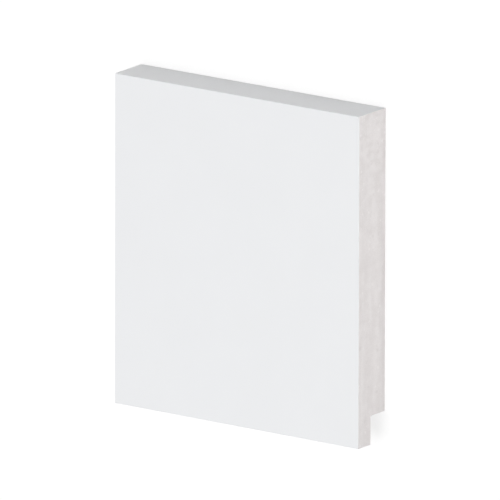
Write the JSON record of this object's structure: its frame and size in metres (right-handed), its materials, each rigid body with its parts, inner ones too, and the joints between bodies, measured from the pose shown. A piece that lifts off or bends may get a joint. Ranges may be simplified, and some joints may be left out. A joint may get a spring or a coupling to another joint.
{
  "type": "skirting board",
  "caption": "Short sawn length of flat skirting board with a square top edge and a rebate behind its foot, which covers the joint between wall and floor.",
  "frame": {"origin": "middle of the board's outline on the ground, with the board lying on its back", "axes": "+X along the board's length, +Y up its face from the foot to the top edge, +Z out of its front face"},
  "size_m": [0.105, 0.12, 0.016],
  "materials": {
    "coated_polymer": "satin"
  },
  "bodies": {
    "root": {"skirting_board": "coated_polymer"}
  },
  "joints": []
}
